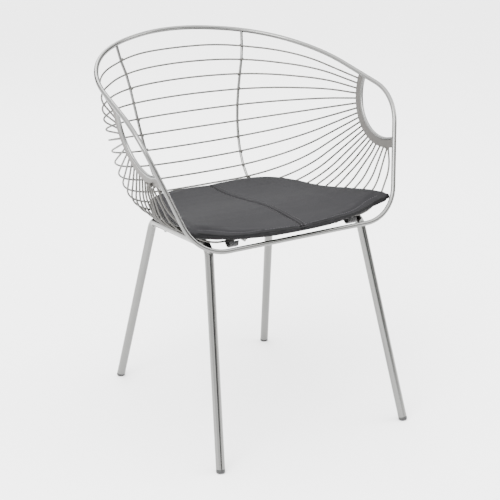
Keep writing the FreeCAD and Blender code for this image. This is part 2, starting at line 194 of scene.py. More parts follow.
def grain_group() -> bpy.types.NodeTree:
    """Pebbled grain of coated fabric, with slow changes of shade and wear.

    Cells of a Voronoi pattern give the pebbles, whose borders sink. A middle
    noise creases them, and a slow noise lightens and darkens whole areas.

    Returns:
        A group with inputs Colour, Worn Colour, Roughness, Grain Scale and
        Shade Change, and outputs Colour, Roughness and Height.
    """
    group = new_group(
        "pebbled_grain",
        {
            "Colour": ("NodeSocketColor", (0.1, 0.1, 0.1, 1.0)),
            "Worn Colour": ("NodeSocketColor", (0.14, 0.14, 0.14, 1.0)),
            "Roughness": ("NodeSocketFloat", 0.6),
            "Grain Scale": ("NodeSocketFloat", 900.0),
            "Shade Change": ("NodeSocketFloat", 0.3),
        },
        {"Colour": "NodeSocketColor", "Roughness": "NodeSocketFloat", "Height": "NodeSocketFloat"},
    )
    links = group.links
    source, result = group.nodes["in"], group.nodes["out"]
    place = add_node(group, "ShaderNodeTexCoord")
    cells = add_node(group, "ShaderNodeTexVoronoi", feature="SMOOTH_F1")
    links.new(place.outputs["Object"], cells.inputs["Vector"])
    links.new(source.outputs["Grain Scale"], cells.inputs["Scale"])
    creases = add_node(group, "ShaderNodeTexNoise", Scale=420.0, Detail=3.0)
    links.new(place.outputs["Object"], creases.inputs["Vector"])
    slow = add_node(group, "ShaderNodeTexNoise", Scale=9.0, Detail=3.0, Roughness=0.5)
    links.new(place.outputs["Object"], slow.inputs["Vector"])
    spread = add_node(group, "ShaderNodeMapRange")
    spread.inputs["From Min"].default_value = 0.35
    spread.inputs["From Max"].default_value = 0.7
    links.new(slow.outputs["Fac"], spread.inputs["Value"])
    share = maths(group, "MULTIPLY", spread.outputs["Result"], source.outputs["Shade Change"])
    mix = add_node(group, "ShaderNodeMix", data_type="RGBA")
    links.new(share, mix.inputs["Factor"])
    links.new(source.outputs["Colour"], mix.inputs[6])
    links.new(source.outputs["Worn Colour"], mix.inputs[7])
    height = maths(group, "ADD", cells.outputs["Distance"], creases.outputs["Fac"])
    rough = maths(group, "MULTIPLY_ADD", creases.outputs["Fac"], 0.12, source.outputs["Roughness"])
    links.new(mix.outputs[2], result.inputs["Colour"])
    links.new(rough, result.inputs["Roughness"])
    links.new(height, result.inputs["Height"])
    return group


class Groups:
    """The shader node groups that several finishes share, built once."""

    def __init__(self) -> None:
        """Builds the groups."""
        self.brushed = brushed_group()
        self.grain = grain_group()


def place_group(
    tree: bpy.types.NodeTree, group: bpy.types.NodeTree, values: dict[str, object]
) -> bpy.types.Node:
    """Places a group in a material's tree with its own values.

    Args:
        tree: The material's node tree.
        group: The node group.
        values: Input name to value.

    Returns:
        The group node.
    """
    node = tree.nodes.new("ShaderNodeGroup")
    node.node_tree = group
    for label, value in values.items():
        node.inputs[label].default_value = value
    return node


def with_alpha(colour: Colour) -> tuple[float, float, float, float]:
    """Gives a colour full opacity.

    Args:
        colour: Red, green and blue.

    Returns:
        Red, green, blue and one.
    """
    return (*colour, 1.0)


# Finishes


@dataclass(frozen=True)
class SteelFinish:
    """Plated steel bar, tube, wire or plate."""

    name: str
    colour: Colour
    roughness: float
    line_scale: float = 900.0
    line_depth: float = 0.2
    clouding: float = 0.1
    bump: float = 0.02

    def build(self, groups: Groups) -> bpy.types.Material:
        """Makes the material.

        Args:
            groups: The shared node groups.

        Returns:
            The material.
        """
        material, tree, shader = start_material(self.name)
        surface = place_group(
            tree,
            groups.brushed,
            {
                "Colour": with_alpha(self.colour),
                "Roughness": self.roughness,
                "Line Scale": self.line_scale,
                "Line Depth": self.line_depth,
                "Clouding": self.clouding,
            },
        )
        shader.inputs["Metallic"].default_value = 1.0
        connect_surface(tree, shader, surface, self.bump, 0.00005)
        return material


@dataclass(frozen=True)
class GrainedFinish:
    """Coated fabric, webbing, moulded plastic or thread: a surface with grain."""

    name: str
    colour: Colour
    worn: Colour
    roughness: float
    grain_scale: float = 1100.0
    shade_change: float = 0.5
    bump: float = 0.25
    bump_depth: float = 0.0003
    specular: float = 0.15
    sheen: float = 0.0
    sheen_roughness: float = 0.4

    def build(self, groups: Groups) -> bpy.types.Material:
        """Makes the material.

        Args:
            groups: The shared node groups.

        Returns:
            The material.
        """
        material, tree, shader = start_material(self.name)
        surface = place_group(
            tree,
            groups.grain,
            {
                "Colour": with_alpha(self.colour),
                "Worn Colour": with_alpha(self.worn),
                "Roughness": self.roughness,
                "Grain Scale": self.grain_scale,
                "Shade Change": self.shade_change,
            },
        )
        shader.inputs["Specular IOR Level"].default_value = self.specular
        shader.inputs["Sheen Weight"].default_value = self.sheen
        shader.inputs["Sheen Roughness"].default_value = self.sheen_roughness
        connect_surface(tree, shader, surface, self.bump, self.bump_depth)
        return material


class Finish(Protocol):
    """What every finish has: a name, and a way to make its material."""

    name: str

    def build(self, groups: Groups) -> bpy.types.Material:
        """Makes the material.

        Args:
            groups: The shared node groups.

        Returns:
            The material.
        """
        ...


def start_material(name: str) -> tuple[bpy.types.Material, bpy.types.NodeTree, bpy.types.Node]:
    """Starts a material with one Principled shader.

    Args:
        name: The material's name.

    Returns:
        The material, its node tree and its shader.
    """
    material = bpy.data.materials.new(name)
    material.use_nodes = True
    tree = material.node_tree
    return material, tree, tree.nodes["Principled BSDF"]


def connect_surface(
    tree: bpy.types.NodeTree,
    shader: bpy.types.Node,
    surface: bpy.types.Node,
    strength: float,
    distance: float,
) -> None:
    """Feeds a surface group's colour, roughness and height to the shader.

    Args:
        tree: The material's node tree.
        shader: The Principled shader.
        surface: The placed group node.
        strength: The bump's strength.
        distance: The bump's depth in metres.
    """
    bump = tree.nodes.new("ShaderNodeBump")
    bump.inputs["Strength"].default_value = strength
    bump.inputs["Distance"].default_value = distance
    tree.links.new(surface.outputs["Height"], bump.inputs["Height"])
    tree.links.new(bump.outputs["Normal"], shader.inputs["Normal"])
    tree.links.new(surface.outputs["Colour"], shader.inputs["Base Color"])
    tree.links.new(surface.outputs["Roughness"], shader.inputs["Roughness"])


CHROMED_BAR = SteelFinish("chromed_bar", (0.155, 0.155, 0.151), 0.24)
CHROMED_TUBE = SteelFinish("chromed_tube", (0.16, 0.16, 0.155), 0.17)
SATIN_WIRE = SteelFinish("satin_wire", (0.088, 0.085, 0.08), 0.5, bump=0.04)
SATIN_PLATE = SteelFinish(
    "satin_plate", (0.115, 0.11, 0.104), 0.5, line_scale=500.0, clouding=0.2, bump=0.08
)
WELD_METAL = SteelFinish("weld_metal", (0.08, 0.077, 0.073), 0.4, clouding=0.4, bump=0.3)
PAD_TOP = GrainedFinish("pad_top", (0.0072, 0.007, 0.008), (0.0092, 0.0089, 0.0101), 0.68)
# Darker copy of the pad fabric for the faces that turn sideways: painted shade, since the sides only look
# darker by facing away from the overhead light.
PAD_SIDE_PAINTED_SHADE = GrainedFinish("pad_side_painted_shade", (0.003, 0.003, 0.0033), (0.004, 0.004, 0.0044), 0.6)
PAD_SEAM = GrainedFinish("pad_seam", (0.004, 0.004, 0.0043), (0.006, 0.006, 0.0063), 0.6)
# Near-black cords that lie along both flanks of the middle seam strip: painted shade of the seam's crease.
PAD_CREASE_PAINTED_SHADE = GrainedFinish("pad_crease_painted_shade", (0.0015, 0.0015, 0.0016), (0.002, 0.002, 0.0021), 0.7)
STRAP_WEBBING = GrainedFinish(
    "strap_webbing",
    (0.0015, 0.0015, 0.0016),
    (0.005, 0.005, 0.0052),
    0.85,
    grain_scale=1400.0,
    shade_change=0.9,
    bump=0.9,
    bump_depth=0.0008,
    sheen=0.3,
    sheen_roughness=0.6,
)
GLIDE_PLASTIC = GrainedFinish(
    "glide_plastic",
    (0.012, 0.012, 0.012),
    (0.04, 0.04, 0.04),
    0.38,
    grain_scale=2200.0,
    shade_change=0.4,
    bump=0.08,
    bump_depth=0.0001,
    specular=0.5,
)
SEWING_THREAD = GrainedFinish(
    "sewing_thread",
    (0.045, 0.044, 0.047),
    (0.0675, 0.066, 0.0705),
    0.7,
    grain_scale=2600.0,
    shade_change=0.6,
    bump=0.3,
    bump_depth=0.0001,
    specular=0.5,
)


# Meshes

MERGE_DISTANCE = 1e-6


def unit(vectors: np.ndarray) -> np.ndarray:
    """Scales vectors to length one.

    Args:
        vectors: N by 3 array.

    Returns:
        The unit vectors, N by 3.
    """
    return vectors / np.linalg.norm(vectors, axis=1, keepdims=True)


def triangles(quads: np.ndarray) -> np.ndarray:
    """Splits quads into triangles.

    Args:
        quads: M by 4 array of point numbers.

    Returns:
        Twice as many rows of three point numbers.
    """
    return np.vstack([quads[:, [0, 1, 2]], quads[:, [0, 2, 3]]])


def read_rows(items: bpy.types.bpy_prop_collection, key: str) -> np.ndarray:
    """Reads a property with three numbers from a mesh's points or faces.

    Args:
        items: The points or faces.
        key: The property's name.

    Returns:
        N by 3 array.
    """
    flat = np.empty(len(items) * 3, dtype=np.float32)
    items.foreach_get(key, flat)
    return flat.reshape(-1, 3)


def new_piece(
    name: str, points: np.ndarray, faces: np.ndarray, material: bpy.types.Material
) -> bpy.types.Object:
    """Puts arrays of points and faces into a new mesh object.

    Args:
        name: The piece's name.
        points: N by 3 array of places in metres.
        faces: M by 3 or M by 4 array of point numbers.
        material: Its material.

    Returns:
        The object, smooth shaded.
    """
    mesh = bpy.data.meshes.new(name)
    sides = faces.shape[1]
    mesh.vertices.add(len(points))
    mesh.vertices.foreach_set("co", points.astype(np.float32).ravel())
    mesh.loops.add(faces.size)
    mesh.loops.foreach_set("vertex_index", faces.astype(np.int32).ravel())
    mesh.polygons.add(len(faces))
    mesh.polygons.foreach_set("loop_start", np.arange(0, faces.size, sides, dtype=np.int32))
    mesh.polygons.foreach_set("loop_total", np.full(len(faces), sides, dtype=np.int32))
    mesh.polygons.foreach_set("use_smooth", np.ones(len(faces), dtype=bool))
    mesh.update(calc_edges=True)
    mesh.validate()
    mesh.materials.append(material)
    piece = bpy.data.objects.new(name, mesh)
    bpy.context.scene.collection.objects.link(piece)
    return piece


def face_outwards(piece: bpy.types.Object) -> None:
    """Merges doubles and turns every face outwards.

    Args:
        piece: The piece.
    """
    work = bmesh.new()
    work.from_mesh(piece.data)
    bmesh.ops.remove_doubles(work, verts=work.verts, dist=MERGE_DISTANCE)
    bmesh.ops.recalc_face_normals(work, faces=work.faces)
    work.to_mesh(piece.data)
    work.free()


def grid_faces(
    rows: int, columns: int, closed_rows: bool = False, closed_columns: bool = False
) -> np.ndarray:
    """Quads that join a grid of points.

    Args:
        rows: Number of rows of points.
        columns: Number of columns of points.
        closed_rows: The last row joins the first.
        closed_columns: The last column joins the first.

    Returns:
        M by 4 array of point numbers.
    """
    across = np.arange(columns if closed_columns else columns - 1)
    along = np.arange(rows if closed_rows else rows - 1)
    r, c = np.meshgrid(along, across, indexing="ij")
    r1, c1 = (r + 1) % rows, (c + 1) % columns
    quads = np.stack([r * columns + c, r * columns + c1, r1 * columns + c1, r1 * columns + c], axis=-1)
    return quads.reshape(-1, 4)


def node_points(node: str) -> np.ndarray:
    """All mesh points of a construction node.

    Args:
        node: The node's name.

    Returns:
        N by 3 array of places in metres.
    """
    item = bpy.data.objects[node]
    points = read_rows(item.data.vertices, "co").astype(float)
    matrix = np.array(item.matrix_world)
    return points @ matrix[:3, :3].T + matrix[:3, 3]


def closed_tube(
    name: str, grid: np.ndarray, material: bpy.types.Material, looped: bool = False
) -> bpy.types.Object:
    """Closes rings of points into a tube with capped ends.

    Args:
        name: The piece's name.
        grid: Rings by points by 3.
        material: Its material.
        looped: The tube joins its own start.

    Returns:
        The piece.
    """
    rings, spokes = grid.shape[:2]
    quads = grid_faces(rings, spokes, closed_rows=looped, closed_columns=True)
    faces = triangles(quads)
    points = grid.reshape(-1, 3)
    if not looped:
        near = np.arange(spokes)
        following = (near + 1) % spokes
        first, last = len(points), len(points) + 1
        base = (rings - 1) * spokes
        points = np.vstack([points, grid[0].mean(axis=0), grid[-1].mean(axis=0)])
        start = np.stack([np.full(spokes, first), following, near], axis=-1)
        stop = np.stack([np.full(spokes, last), base + near, base + following], axis=-1)
        faces = np.vstack([faces, start, stop])
    piece = new_piece(name, points, faces, material)
    face_outwards(piece)
    return piece


# Materials


class Finishes:
    """Every material of the chair, built once and asked for by name."""

    def __init__(self) -> None:
        """Builds the shared groups and all the materials."""
        self.groups = Groups()
        recipes: tuple[Finish, ...] = (CHROMED_BAR, CHROMED_TUBE, SATIN_WIRE, SATIN_PLATE, WELD_METAL)
        recipes += (PAD_TOP, PAD_SIDE_PAINTED_SHADE, PAD_SEAM, PAD_CREASE_PAINTED_SHADE)
        recipes += (STRAP_WEBBING, GLIDE_PLASTIC, SEWING_THREAD)
        self.by_name = {recipe.name: recipe.build(self.groups) for recipe in recipes}

    def get(self, recipe: Finish) -> bpy.types.Material:
        """The material that a recipe made.

        Args:
            recipe: The finish.

        Returns:
            Its material.
        """
        return self.by_name[recipe.name]


def attach(piece: bpy.types.Object, slot: str, *nodes: str) -> bpy.types.Object:
    """Lets a new piece ride on the chair and hides the construction nodes that it stands for.

    Args:
        piece: The new piece.
        slot: A material slot's name; not used.
        nodes: Construction nodes that it stands for.

    Returns:
        The piece.
    """
    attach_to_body(piece, "root")
    if nodes:
        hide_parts(*nodes)
    return piece


# Steelwork


@dataclass
class Steelwork:
    """The construction model's nodes and their finishes."""

    finishes: Finishes

    def finish_of(self, node: str) -> Finish:
        """The finish that a node gets, from its name.

        Args:
            node: The node's name.

        Returns:
            The finish.
        """
        if "strap" in node:
            return STRAP_WEBBING
        if "seat_pad" in node:
            return PAD_TOP
        if "glide" in node:
            return GLIDE_PLASTIC
        if "wire" in node:
            return SATIN_WIRE
        if "plate" in node:
            return SATIN_PLATE
        if "leg_frame" in node or "cross_bar" in node:
            return CHROMED_TUBE
        return CHROMED_BAR

    def dress(self, nodes: dict[str, bpy.types.Object]) -> int:
        """Gives every node its material.

        Args:
            nodes: Node name to object.

        Returns:
            How many nodes were dressed.
        """
        for name, item in nodes.items():
            item.data.materials.clear()
            item.data.materials.append(self.finishes.get(self.finish_of(name)))
        return len(nodes)


@dataclass
class WeldBeads:
    """Small weld beads where wires meet the plates and the support bars."""

    finishes: Finishes
    end_size: tuple[float, float] = (0.0029, 0.0016)
    cross_radius: float = 0.0026
    rings: int = 6
    spokes: int = 10
    tip_depth: float = 0.0012
    back_span: tuple[float, float] = (0.008, 0.016)
    touch: float = 0.004

    def ball(self) -> tuple[np.ndarray, np.ndarray]:
        """Unit ball as rings of points between two poles.

        The height of a ring is the cosine of its angle from the pole, its
        radius the sine.

        Returns:
            The points and the faces as triangles.
        """
        polar = np.pi * np.arange(1, self.rings) / self.rings
        turn = 2.0 * np.pi * np.arange(self.spokes) / self.spokes
        p, t = np.meshgrid(polar, turn, indexing="ij")
        body = np.stack([np.sin(p) * np.cos(t), np.sin(p) * np.sin(t), np.cos(p)], axis=-1).reshape(-1, 3)
        points = np.vstack([body, [[0, 0, 1.0], [0, 0, -1.0]]])
        tris = triangles(grid_faces(self.rings - 1, self.spokes, closed_columns=True))
        near = np.arange(self.spokes)
        nxt = (near + 1) % self.spokes
        top, low = len(body), len(body) + 1
        base = (self.rings - 2) * self.spokes
        cap_top = np.stack([np.full(self.spokes, top), near, nxt], axis=-1)
        cap_low = np.stack([np.full(self.spokes, low), base + nxt, base + near], axis=-1)
        return points, np.vstack([tris, cap_top, cap_low])

    def wire_ends(self, nodes: list[str]) -> tuple[np.ndarray, np.ndarray]:
        """Places and directions of the wires' ends.

        Args:
            nodes: Names of the wire nodes.

        Returns:
            Places and unit directions, N by 3 each.
        """
        places, directions = [], []
        for node in nodes:
            points = node_points(node)
            for side in Side:
                reach = points[:, 0] * side.value
                tip = points[reach > reach.max() - self.tip_depth].mean(axis=0)
                away = np.linalg.norm(points - tip, axis=1)
                back = points[(away > self.back_span[0]) & (away < self.back_span[1])].mean(axis=0)
                places.append(tip)
                directions.append(tip - back)
        return np.array(places), unit(np.array(directions))

    def crossings(self, wires: list[str], bars: list[str]) -> np.ndarray:
        """Places where the wires lie on the support bars.

        Args:
            wires: Names of the wire nodes.
            bars: Names of the bar nodes.

        Returns:
            Places, N by 3.
        """
        places = []
        for bar in bars:
            bar_points = node_points(bar)
            low, high = bar_points[:, 0].min() - self.touch, bar_points[:, 0].max() + self.touch
            for wire in wires:
                points = node_points(wire)
                near = points[(points[:, 0] > low) & (points[:, 0] < high)][::2]
                gaps = np.linalg.norm(near[:, None, :] - bar_points[None, ::2, :], axis=2)
                wire_at, bar_at = np.unravel_index(gaps.argmin(), gaps.shape)
                if gaps[wire_at, bar_at] < self.touch:
                    places.append((near[wire_at] + bar_points[::2][bar_at]) / 2.0)
        return np.array(places)

    def build(self, nodes: list[str]) -> bpy.types.Object:
        """Builds all the beads as one mesh.

        Args:
            nodes: Names of all the nodes.

        Returns:
            The piece.
        """
        wires = [n for n in nodes if n.startswith("shell_wire")]
        bars = [n for n in nodes if n.endswith("support_bar")]
        ball, faces = self.ball()
        ends, directions = self.wire_ends(wires)
        across = unit(np.cross(directions, [0.0, 0.0, 1.0]))
        up = np.cross(directions, across)
        wide, long = self.end_size
        end_beads = (
            ends[:, None, :]
            + ball[None, :, 0:1] * across[:, None, :] * wide
            + ball[None, :, 1:2] * up[:, None, :] * wide
            + ball[None, :, 2:3] * directions[:, None, :] * long
        )
        spots = self.crossings(wires, bars)
        cross_beads = spots[:, None, :] + ball[None, :, :] * self.cross_radius
        beads = np.concatenate([end_beads, cross_beads])
        offsets = np.arange(len(beads))[:, None, None] * len(ball)
        all_faces = (faces[None, :, :] + offsets).reshape(-1, 3)
        piece = new_piece("weld_beads", beads.reshape(-1, 3), all_faces, self.finishes.get(WELD_METAL))
        face_outwards(piece)
        return attach(piece, "satin_steel")


# The pad


@dataclass
class SeatPad:
    """The sewn pad: a crowned cushion with a middle seam and an edge seam."""

    finishes: Finishes
    merge_distance: float = 1e-5
    voxel: float = 0.0040
    shrink: float = 0.0004
    swell_cap: float = 0.0035
    last_frame: int = 20
    pressure: float = 4.0
    groove_half: float = 0.0070
    groove_depth: float = 0.0030
    groove_fade: tuple[float, float] = (0.1, 0.4)
    line_half: float = 0.0035
    line_slope: float = 0.12
    line_slices: int = 90
    line_steps: int = 420
    line_ease: int = 17
    round_slices: int = 360
    round_ease: int = 13
    round_stretch: float = 1.2
    edge_slope: tuple[float, float] = (0.45, 0.75)
    row_slope: tuple[float, float] = (0.80, 0.93)
    strip_spokes: int = 20
    strip_taper: tuple[float, float] = (40.0, 0.02)
    strip_size: tuple[float, float, float] = (0.0030, 0.0019, 0.0008)
    crease_shade_size: tuple[float, float, float] = (0.0013, 0.0013, 0.0014)
    crease_shade_out: float = 0.0042
    welt_radius: float = 0.0013
    welt_spokes: int = 10
    painted_shade_slope: float = 0.6
    wing_from: tuple[float, float] = (0.195, -0.15)
    wing_run: tuple[float, float] = (0.04, 0.05)
    wing_shift: tuple[float, float] = (0.005, 0.006)
    stitch_step: float = 0.0058
    stitch_length: float = 0.0040
    stitch_radius: float = 0.00035
    stitch_out: float = 0.0075
    stitch_spokes: int = 6
    stitch_aim: float = 0.001
    fill: float = 0.8

    def outer_skin(self) -> bpy.types.Object:
        """Copies the cover's outer skin, without the hollow for the foam.

        Points that share a triangle take the lowest number among them until
        nothing changes, so each closed skin ends up with one number.

        Returns:
            A new object with the outer skin.
        """
        mesh = bpy.data.objects["seat_pad_cover"].data.copy()
        work = bmesh.new()
        work.from_mesh(mesh)
        bmesh.ops.remove_doubles(work, verts=work.verts, dist=self.merge_distance)
        work.to_mesh(mesh)
        work.free()
        points = read_rows(mesh.vertices, "co")
        faces = np.empty(len(mesh.loops), dtype=np.int32)
        mesh.loops.foreach_get("vertex_index", faces)
        faces = faces.reshape(-1, 3)
        skin, before = np.arange(len(points)), None
        while before is None or not np.array_equal(skin, before):
            before = skin.copy()
            np.minimum.at(skin, faces, before[faces].min(axis=1)[:, None])
            skin = skin[skin]
        keep = skin == skin[points[:, 0].argmax()]
        number = np.cumsum(keep) - 1
        kept_faces = number[faces[keep[faces[:, 0]]]]
        bpy.data.meshes.remove(mesh)
        return new_piece("seat_cushion", points[keep], kept_faces, self.finishes.get(PAD_TOP))

    def baked(self, piece: bpy.types.Object) -> None:
        """Applies every modifier of a piece to its mesh.

        Args:
            piece: The piece.
        """
        graph = bpy.context.evaluated_depsgraph_get()
        graph.update()
        mesh = bpy.data.meshes.new_from_object(piece.evaluated_get(graph))
        piece.modifiers.clear()
        piece.data = mesh

    def arrays(self, piece: bpy.types.Object) -> tuple[np.ndarray, np.ndarray]:
        """Places and normals of a piece's points.

        Args:
            piece: The piece.

        Returns:
            Places and normals, N by 3 each.
        """
        points = piece.data.vertices
        return read_rows(points, "co").astype(float), read_rows(points, "normal").astype(float)

    def write(self, piece: bpy.types.Object, places: np.ndarray) -> None:
        """Writes places into a piece's mesh.

        Args:
            piece: The piece.
            places: N by 3 array of places in metres.
        """
        piece.data.vertices.foreach_set("co", places.astype(np.float32).ravel())
        piece.data.update()

    def remesh(self, piece: bpy.types.Object) -> None:
        """Gives the skin an even net of points and takes it in a little.

        Args:
            piece: The cushion.
        """
        places, normals = self.arrays(piece)
        self.write(piece, places - normals * self.shrink)
        step = piece.modifiers.new("even", "REMESH")
        step.mode = "VOXEL"
        step.voxel_size = self.voxel
        ease = piece.modifiers.new("ease", "SMOOTH")
        ease.factor = 0.5
        ease.iterations = 2
        self.baked(piece)

    def inflate(self, piece: bpy.types.Object) -> None:
        """Swells the skin like a filled cover, held flat where it rests.

        Args:
            piece: The cushion.
        """
        rest, normals = self.arrays(piece)
        cloth = piece.modifiers.new("cloth", "CLOTH")
        settings = cloth.settings
        settings.quality = 5
        settings.mass = 0.3
        settings.tension_stiffness = 30.0
        settings.compression_stiffness = 30.0
        settings.bending_stiffness = 2.0
        settings.use_pressure = True
        settings.uniform_pressure_force = self.pressure
        settings.effector_weights.gravity = 0.0
        cloth.point_cache.frame_start = 1
        cloth.point_cache.frame_end = self.last_frame
        scene = bpy.context.scene
        for number in range(1, self.last_frame + 1):
            scene.frame_set(number)
        graph = bpy.context.evaluated_depsgraph_get()
        swollen = bpy.data.meshes.new_from_object(piece.evaluated_get(graph))
        moved = read_rows(swollen.vertices, "co")
        piece.modifiers.clear()
        scene.frame_set(1)
        shift = moved.astype(float) - rest
        outward = np.clip((shift * normals).sum(axis=1, keepdims=True), 0.0, self.swell_cap)
        free = np.clip(normals[:, 2:3], 0.0, 1.0)
        self.write(piece, rest + normals * outward * free)

    def draw_out_wings(self, piece: bpy.types.Object) -> None:
        """Draws the two front wing tips a few millimetres out and forward.

        Args:
            piece: The cushion.
        """
        places, _ = self.arrays(piece)
        out = np.clip((np.abs(places[:, 0]) - self.wing_from[0]) / self.wing_run[0], 0.0, 1.0)
        fore = np.clip((self.wing_from[1] - places[:, 1]) / self.wing_run[1], 0.0, 1.0)
        share = out * out * (3.0 - 2.0 * out) * fore * fore * (3.0 - 2.0 * fore)
        places[:, 0] += np.sign(places[:, 0]) * share * self.wing_shift[0]
        places[:, 1] -= share * self.wing_shift[1]
        self.write(piece, places)

    def groove(self, piece: bpy.types.Object) -> None:
        """Sinks a shallow valley along the middle of the top.

        The depth falls off as exp(-(x / half width) to the fourth power).

        Args:
            piece: The cushion.
        """
        places, normals = self.arrays(piece)
        valley = np.exp(-((places[:, 0:1] / self.groove_half) ** 4))
        top = np.clip((normals[:, 2:3] - self.groove_fade[0]) / self.groove_fade[1], 0.0, 1.0)
        self.write(piece, places - normals * valley * top * self.groove_depth)

    def top_line(self, places: np.ndarray, normals: np.ndarray, x: float) -> np.ndarray:
        """Smooth line over the top of the pad from the back to the front.

        Args:
            places: Points of the pad before its groove was sunk.
            normals: Their normals.
            x: Distance of the line from the middle.

        Returns:
            Points at even steps along the line, N by 3.
        """
        band = (np.abs(places[:, 0] - x) < self.line_half) & (normals[:, 2] > self.line_slope)
        near = places[band]
        bins = np.linspace(near[:, 1].min(), near[:, 1].max(), self.line_slices)
        index = np.clip(np.digitize(near[:, 1], bins) - 1, 0, len(bins) - 2)
        count = np.bincount(index, minlength=len(bins) - 1)
        y = np.bincount(index, near[:, 1], minlength=len(bins) - 1)[count > 0] / count[count > 0]
        z = np.bincount(index, near[:, 2], minlength=len(bins) - 1)[count > 0] / count[count > 0]
        fine = np.linspace(y.min(), y.max(), self.line_steps)
        height = np.interp(fine, y, z)
        kernel = np.hanning(self.line_ease)
        kernel /= kernel.sum()
        height = np.convolve(np.pad(height, self.line_ease // 2, mode="edge"), kernel, mode="valid")
        return np.stack([np.full_like(fine, x), fine, height], axis=-1)

    def ridge(
        self, name: str, line: np.ndarray, size: tuple[float, float, float], recipe: Finish
    ) -> bpy.types.Object:
        """Raised strip along a seam, a rounded band swept along the line.

        Across, the band is a superellipse of power three.

        Args:
            name: The piece's name.
            line: Points of the seam on the pad's surface.
            size: Half width, half height and how far the middle is sunk.
            recipe: Its finish.

        Returns:
            The piece.
        """
        half, high, sink = size
        tangent = unit(np.gradient(line, axis=0))
        across = np.tile([1.0, 0.0, 0.0], (len(line), 1))
        up = np.cross(across, tangent)
        up *= np.sign(up[:, 2:3])
        angle = np.linspace(0.0, 2.0 * np.pi, self.strip_spokes, endpoint=False)
        cosine, sine = np.cos(angle), np.sin(angle)
        side = np.sign(cosine) * np.abs(cosine) ** (2.0 / 3.0) * half
        rise = np.sign(sine) * np.abs(sine) ** (2.0 / 3.0) * high
        ends = np.linspace(0.0, 1.0, len(line))
        rate, least = self.strip_taper
        taper = np.sqrt(np.clip(np.minimum(ends, 1.0 - ends) * rate, least, 1.0))
        centre = line - up * sink
        grid = (
            centre[:, None, :]
            + across[:, None, :] * side[None, :, None] * taper[:, None, None]
            + up[:, None, :] * rise[None, :, None] * taper[:, None, None]
        )
        return closed_tube(name, grid, self.finishes.get(recipe))

    def shoulder(
        self, places: np.ndarray, normals: np.ndarray, slope: tuple[float, float]
    ) -> tuple[np.ndarray, np.ndarray]:
        """Closed line round the pad where its skin has a certain slope.

        Points whose normal's height lies in a range are averaged in slices
        round the middle, and the result is smoothed round the loop.

        Args:
            places: Points of the pad.
            normals: Their normals.
            slope: Least and greatest height of the normal.

        Returns:
            Points round the pad and their normals, N by 3 each.
        """
        band = (normals[:, 2] > slope[0]) & (normals[:, 2] < slope[1])
        outward = (places[:, :2] - places[:, :2].mean(axis=0)) * normals[:, :2]
        band &= outward.sum(axis=1) > 0.0
        near, facing = places[band], normals[band]
        middle = (places.max(axis=0) + places.min(axis=0)) / 2.0
        turn = np.arctan2((near[:, 1] - middle[1]) * self.round_stretch, near[:, 0])
        slices = self.round_slices
        index = ((turn + np.pi) / (2.0 * np.pi) * slices).astype(int) % slices
        count = np.bincount(index, minlength=slices)
        have = count > 0
        both = np.hstack([near, facing]).T
        columns = [np.bincount(index, c, minlength=slices)[have] / count[have] for c in both]
        kernel = np.hanning(self.round_ease)
        kernel /= kernel.sum()
        where = np.flatnonzero(have)
        full = [np.interp(np.arange(slices), where, c, period=slices) for c in columns]
        wrapped = [np.pad(c, self.round_ease // 2, mode="wrap") for c in full]
        smooth = [np.convolve(c, kernel, mode="valid") for c in wrapped]
        return np.stack(smooth[:3], axis=-1), unit(np.stack(smooth[3:], axis=-1))

    def welt(self, line: np.ndarray, face: np.ndarray) -> bpy.types.Object:
        """Thin rolled seam round the pad's upper edge.

        Args:
            line: Closed line of points.
            face: Normals of the pad there.

        Returns:
            The piece.
        """
        tangent = unit(np.roll(line, -1, axis=0) - np.roll(line, 1, axis=0))
        across = np.cross(face, tangent)
        angle = np.linspace(0.0, 2.0 * np.pi, self.welt_spokes, endpoint=False)
        grid = (
            line[:, None, :]
            + face[:, None, :] * (np.sin(angle) * self.welt_radius)[None, :, None]
            + across[:, None, :] * (np.cos(angle) * self.welt_radius)[None, :, None]
        )
        return closed_tube("pad_edge_welt", grid, self.finishes.get(PAD_SEAM), looped=True)

    def stitches(self, lines: list[tuple[np.ndarray, np.ndarray]]) -> bpy.types.Object:
        """Rows of short thread stitches lying on the pad.

        Each stitch is a slim spindle at an even step along its line.

        Args:
            lines: Points and normals of each row of stitches.

        Returns:
            The piece.
        """
        spokes = self.stitch_spokes
        angle = np.linspace(0.0, 2.0 * np.pi, spokes, endpoint=False)
        along = np.array([-1.0, -0.7, 0.7, 1.0])
        swell = np.array([0.15, 1.0, 1.0, 0.15])
        blocks = []
        for points, normals in lines:
            steps = np.linalg.norm(np.diff(points, axis=0), axis=1)
            place = np.concatenate([[0.0], np.cumsum(steps)])
            at = np.arange(self.stitch_step, place[-1] - self.stitch_step, self.stitch_step)
            centre = np.stack([np.interp(at, place, points[:, k]) for k in range(3)], axis=-1)
            up = np.stack([np.interp(at, place, normals[:, k]) for k in range(3)], axis=-1)
            beyond = at + self.stitch_aim
            ahead = np.stack([np.interp(beyond, place, points[:, k]) for k in range(3)], axis=-1) - centre
            ahead /= np.maximum(np.linalg.norm(ahead, axis=1, keepdims=True), 1e-9)
            side = np.cross(up, ahead)
            wide = (swell[:, None] * np.cos(angle))[None, :, :, None] * self.stitch_radius
            high = (swell[:, None] * np.sin(angle))[None, :, :, None] * self.stitch_radius
            body = (
                centre[:, None, None, :]
                + ahead[:, None, None, :] * (along * self.stitch_length / 2.0)[None, :, None, None]
                + side[:, None, None, :] * wide
                + up[:, None, None, :] * high
            )
            blocks.append(body.reshape(-1, 4 * spokes, 3))
        body = np.concatenate(blocks)
        tris = triangles(grid_faces(4, spokes, closed_columns=True))
        fan = np.arange(1, spokes - 1)
        start = np.stack([np.zeros_like(fan), fan + 1, fan], axis=-1)
        stop = np.stack([np.zeros_like(fan), fan, fan + 1], axis=-1) + 3 * spokes
